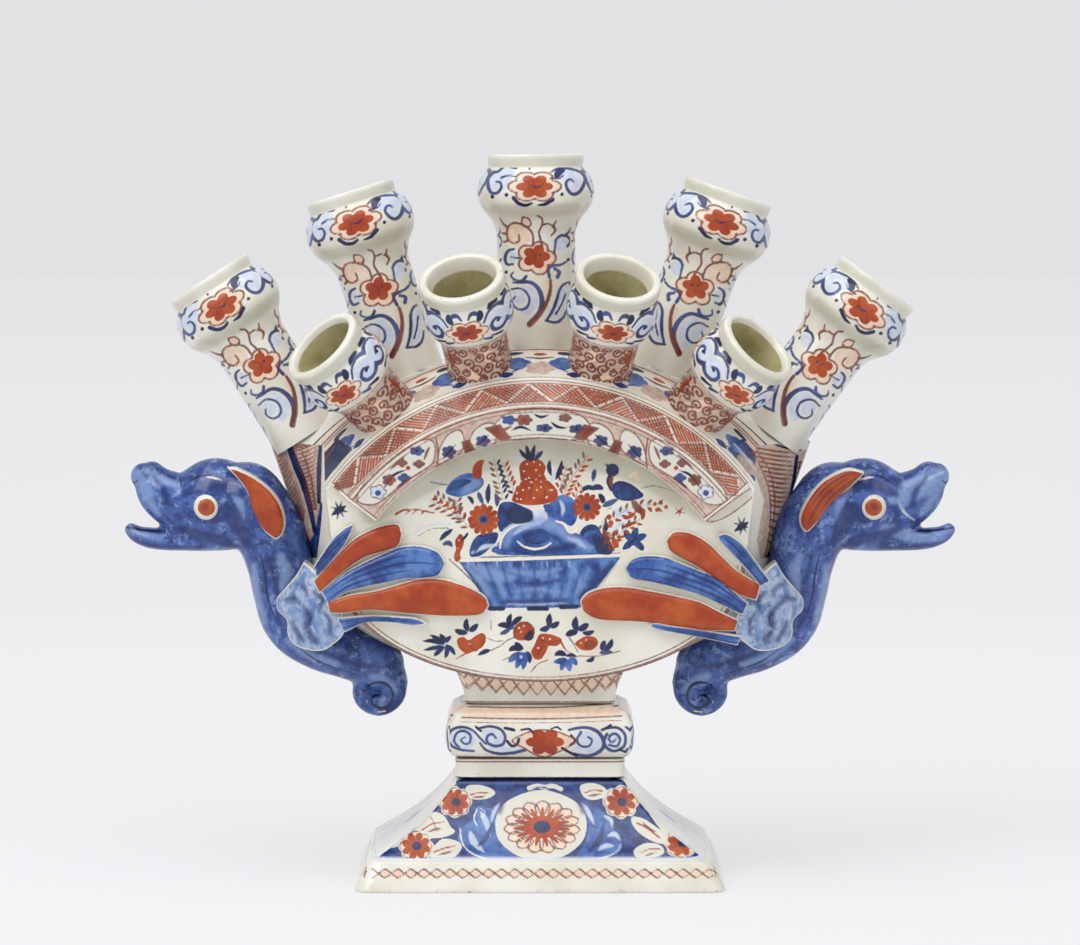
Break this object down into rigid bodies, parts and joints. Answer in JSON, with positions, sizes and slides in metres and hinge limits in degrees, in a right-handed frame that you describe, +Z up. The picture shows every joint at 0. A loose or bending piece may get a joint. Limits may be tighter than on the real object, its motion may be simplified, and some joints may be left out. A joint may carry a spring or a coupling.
{
  "type": "tulip vase",
  "caption": "Fan-shaped tulip vase of painted tin-glazed earthenware: hollow body on a moulded foot, with a row of tall and a row of short spouts and dragon handles.",
  "frame": {"origin": "middle of the foot's underside, on the surface it stands on", "axes": "+X along the fan of spouts towards the right dragon seen from the front, +Y from the painted front panel to the back, +Z up"},
  "size_m": [0.3026, 0.099, 0.2601],
  "materials": {
    "tin_glaze": "warm white opaque tin glaze over earthenware, glossy, painted in blue and iron red",
    "cobalt_glaze": "brushed cobalt blue wash in tin glaze, glossy",
    "pale_cobalt_glaze": "thin cobalt blue wash in tin glaze, glossy",
    "iron_red_glaze": "iron red brushed over tin glaze, glossy"
  },
  "bodies": {
    "root": {"foot": "tin_glaze", "stem_block": "tin_glaze", "knop": "tin_glaze", "neck": "tin_glaze", "bowl": "tin_glaze", "left_side": "tin_glaze", "right_side": "tin_glaze", "front_panel": "tin_glaze", "back_panel": "tin_glaze", "shoulder": "tin_glaze", "crest": "tin_glaze", "arch_moulding": "tin_glaze", "tall_spout_1": "tin_glaze", "tall_spout_2": "tin_glaze", "tall_spout_3": "tin_glaze", "tall_spout_4": "tin_glaze", "tall_spout_5": "tin_glaze", "short_spout_1": "tin_glaze", "short_spout_2": "tin_glaze", "short_spout_3": "tin_glaze", "short_spout_4": "tin_glaze", "left_dragon_body": "cobalt_glaze", "left_dragon_head": "cobalt_glaze", "left_dragon_jaw": "cobalt_glaze", "left_feather_1": "cobalt_glaze", "left_feather_3": "cobalt_glaze", "left_feather_5": "cobalt_glaze", "left_wing_root": "pale_cobalt_glaze", "left_front_eye": "iron_red_glaze", "left_back_eye": "iron_red_glaze", "left_front_ear": "iron_red_glaze", "left_back_ear": "iron_red_glaze", "left_feather_2": "iron_red_glaze", "left_feather_4": "iron_red_glaze", "right_dragon_body": "cobalt_glaze", "right_dragon_head": "cobalt_glaze", "right_dragon_jaw": "cobalt_glaze", "right_feather_1": "cobalt_glaze", "right_feather_3": "cobalt_glaze", "right_feather_5": "cobalt_glaze", "right_wing_root": "pale_cobalt_glaze", "right_front_eye": "iron_red_glaze", "right_back_eye": "iron_red_glaze", "right_front_ear": "iron_red_glaze", "right_back_ear": "iron_red_glaze", "right_feather_2": "iron_red_glaze", "right_feather_4": "iron_red_glaze"}
  },
  "joints": []
}
